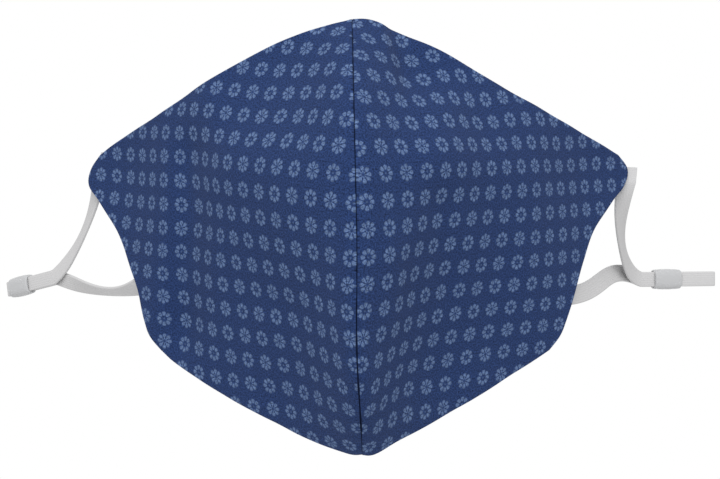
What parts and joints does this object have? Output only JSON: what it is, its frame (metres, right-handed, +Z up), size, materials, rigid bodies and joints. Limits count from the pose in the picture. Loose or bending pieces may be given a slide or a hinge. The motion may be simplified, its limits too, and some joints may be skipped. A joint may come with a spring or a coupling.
{
  "type": "cloth face mask",
  "caption": "Shaped cotton face mask: curved panels joined at a centre seam, with flat elastic ear loops and soft sliding adjusters.",
  "frame": {"origin": "the seat on the face: on the centre seam's plane, halfway up the mask, level with the edges that rest on the nose bridge and under the chin", "axes": "+X to the right as the front of the mask is seen, +Y from the front of the mask towards the face, +Z up"},
  "size_m": [0.2632, 0.1351, 0.128],
  "materials": {
    "printed_cotton": "woven cotton, navy with a small repeat of lighter blue flowers",
    "elastic": "flat knitted elastic, white",
    "soft_adjuster": "soft translucent silicone, satin"
  },
  "bodies": {
    "root": {"panel_left": "printed_cotton", "panel_right": "printed_cotton", "ear_loop_left": "elastic", "ear_loop_right": "elastic", "adjuster_left": "soft_adjuster", "adjuster_right": "soft_adjuster"}
  },
  "joints": []
}
